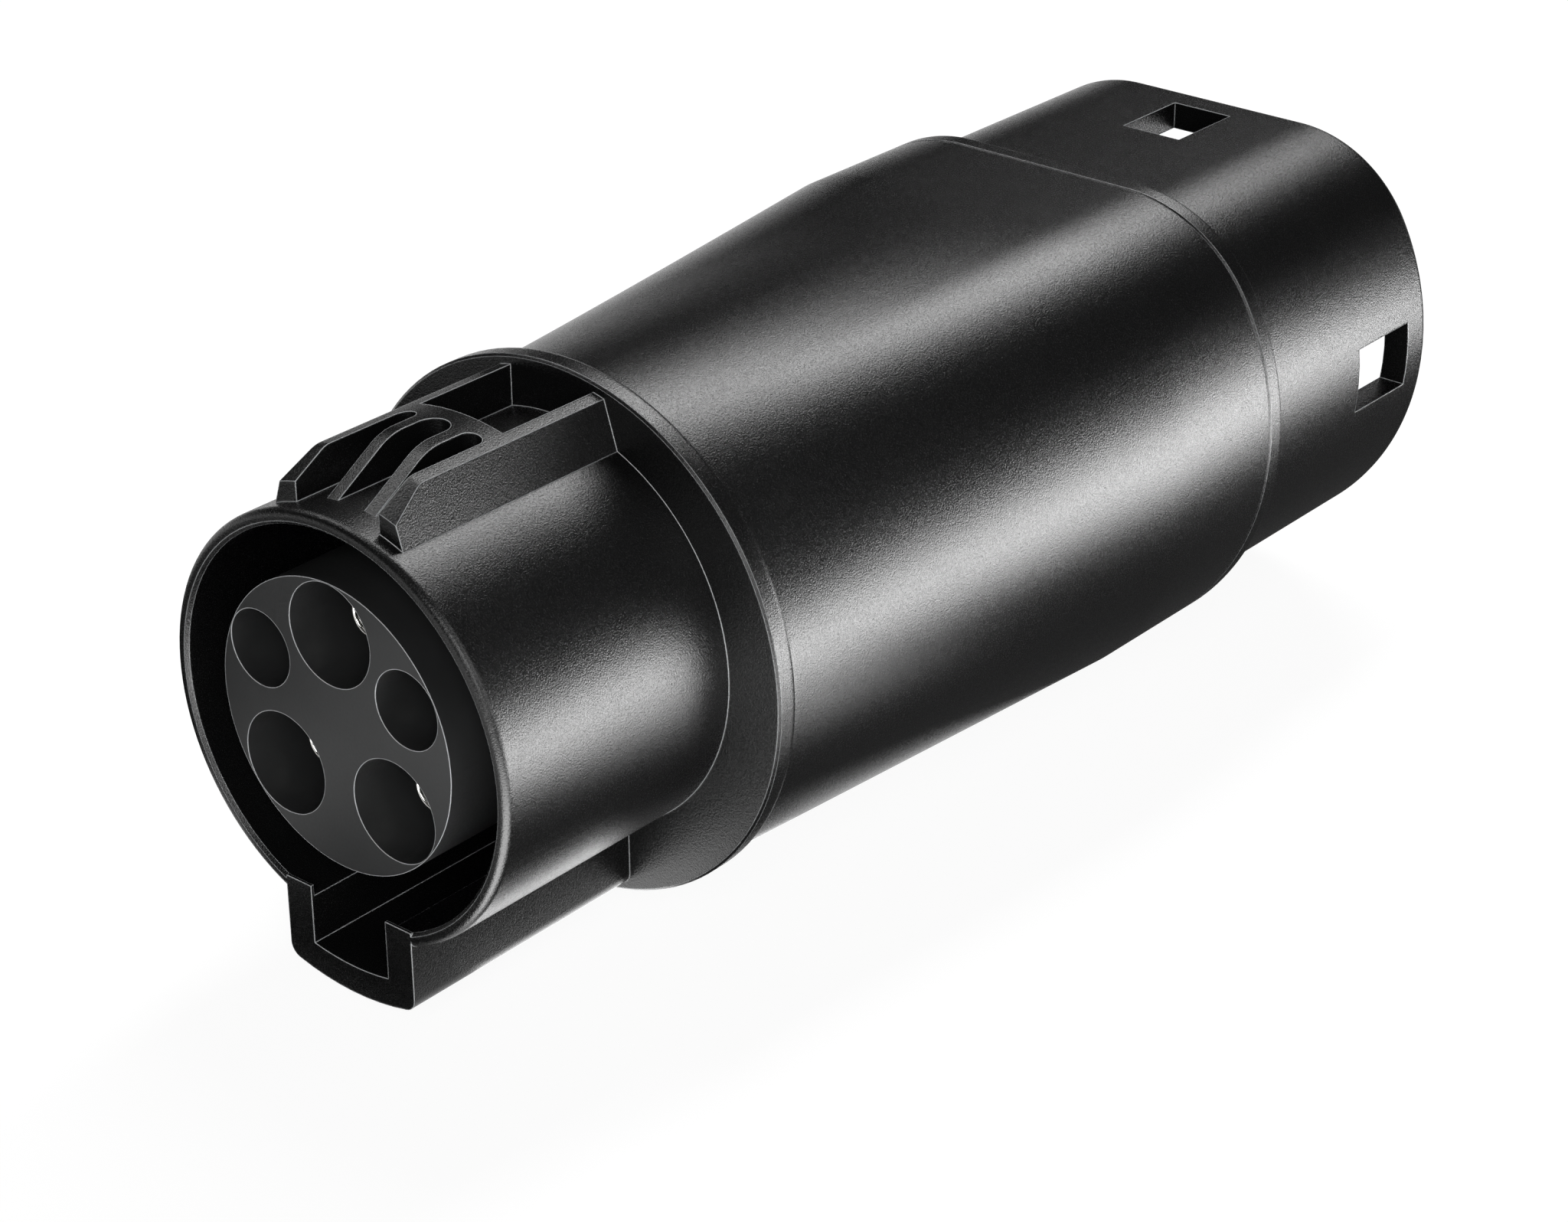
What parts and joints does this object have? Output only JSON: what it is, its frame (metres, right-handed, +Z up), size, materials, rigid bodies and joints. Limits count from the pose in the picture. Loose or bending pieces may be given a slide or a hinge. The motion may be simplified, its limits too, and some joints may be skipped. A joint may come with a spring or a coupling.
{
  "type": "electric vehicle charging adapter",
  "caption": "Black electric vehicle charging adapter: round plug with key and latch ramp in front, widening sleeve, and a D-shaped inlet with lock windows behind",
  "frame": {"origin": "Centre of the socket carrier's front face, in the middle of the plug's round barrel", "axes": "+Y along the adapter from the plug to the inlet, +Z towards the latch ramp and the inlet's flat, +X to the right when looking at the plug's front with +Z up"},
  "size_m": [0.0624, 0.1441, 0.0581],
  "materials": {
    "shell": "fine spark-eroded grain, satin",
    "insert": "smooth satin",
    "contact": "silver plated",
    "seal": "matte",
    "plate": "matte",
    "screw": "zinc plated",
    "jacket_earth": "satin",
    "jacket_line": "satin",
    "jacket_neutral": "satin",
    "jacket_signal": "satin",
    "board": "lacquered",
    "resistor": "lacquered"
  },
  "bodies": {
    "root": {"nose_shell": "shell", "socket_carrier": "insert", "socket_earth": "contact", "socket_line": "contact", "socket_neutral": "contact", "socket_pilot": "contact", "socket_proximity": "contact", "front_plate": "plate", "front_screws": "screw", "front_seal": "seal", "main_sleeve": "shell", "inlet_shell": "shell", "rear_seal": "seal", "pin_carrier": "insert", "pin_earth": "contact", "pin_line": "contact", "pin_neutral": "contact", "pin_pilot": "contact", "pin_proximity": "contact", "rear_plate": "plate", "rear_screws": "screw", "wire_earth": "jacket_earth", "wire_line": "jacket_line", "wire_neutral": "jacket_neutral", "wire_pilot": "jacket_signal", "lead_front": "jacket_signal", "lead_rear": "jacket_signal", "coding_board": "board", "coding_resistor": "resistor"}
  },
  "joints": []
}
